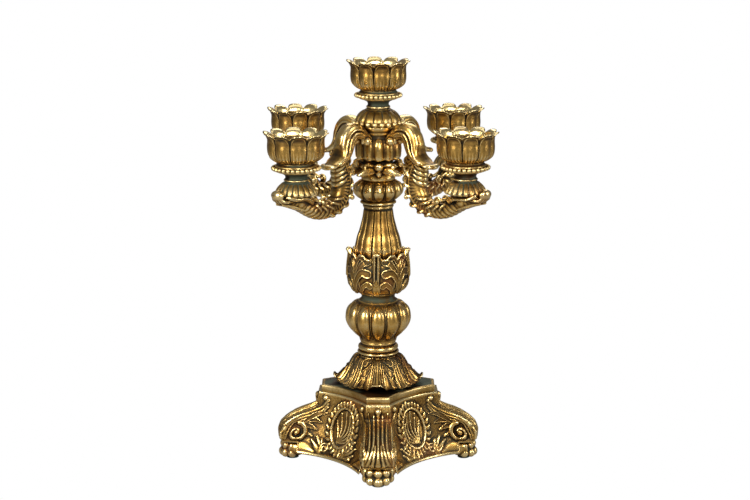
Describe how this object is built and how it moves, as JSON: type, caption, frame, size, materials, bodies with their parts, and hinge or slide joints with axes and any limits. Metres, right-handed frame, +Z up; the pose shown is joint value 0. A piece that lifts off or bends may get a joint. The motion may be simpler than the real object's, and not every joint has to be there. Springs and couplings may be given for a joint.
{
  "type": "tabletop candelabra",
  "caption": "Baroque brass tabletop candelabra: square paw-footed base, leafed stem, and a branch unit with scrolled arms that turns on the stem and carries flower-cup candle sockets.",
  "frame": {"origin": "on the table plane under the axis of the stem", "axes": "+Z up the stem; the four feet lie along -Y, +X, +Y and -X; -Y is the front foot"},
  "size_m": [0.2248, 0.2248, 0.4],
  "materials": {
    "antique_gold": "cast, polished highlights over dark brown recesses",
    "patinated_brass": "dull brass with grey-green patina",
    "gilt_cup": "cast petals, bright edges",
    "socket_brass": "turned, satin",
    "steel_fastener": "plain",
    "green_felt": "felt"
  },
  "bodies": {
    "stand": {"base_shell": "antique_gold", "foot_front": "antique_gold", "foot_right": "antique_gold", "foot_back": "antique_gold", "foot_left": "antique_gold", "foot_screws": "steel_fastener", "felt_pads": "green_felt", "base_plate": "patinated_brass", "tie_rod": "steel_fastener", "rod_washer": "steel_fastener", "rod_nut": "steel_fastener", "leaf_skirt": "antique_gold", "moulded_ring": "antique_gold", "knop": "antique_gold", "knop_collar": "antique_gold", "leaf_calyx": "antique_gold", "fluted_column": "antique_gold", "column_cap": "antique_gold"},
    "branches": {"hub_bulb": "antique_gold", "hub_body": "antique_gold", "arm_front_right": "antique_gold", "arm_back_right": "antique_gold", "arm_back_left": "antique_gold", "arm_front_left": "antique_gold", "arm_screws": "steel_fastener", "beaded_dome": "antique_gold", "branch_bolt": "steel_fastener", "branch_nut": "steel_fastener", "pan_centre": "patinated_brass", "pan_front_right": "patinated_brass", "pan_back_right": "patinated_brass", "pan_back_left": "patinated_brass", "pan_front_left": "patinated_brass", "cup_centre": "gilt_cup", "cup_front_right": "gilt_cup", "cup_back_right": "gilt_cup", "cup_back_left": "gilt_cup", "cup_front_left": "gilt_cup", "socket_centre": "socket_brass", "socket_front_right": "socket_brass", "socket_back_right": "socket_brass", "socket_back_left": "socket_brass", "socket_front_left": "socket_brass", "socket_screws": "steel_fastener"}
  },
  "joints": [
    {"name": "branch_swivel", "type": "hinge", "parent": "stand", "child": "branches", "pos_m": [0, 0, 0.2626], "axis": [0, 0, 1], "continuous": true}
  ]
}
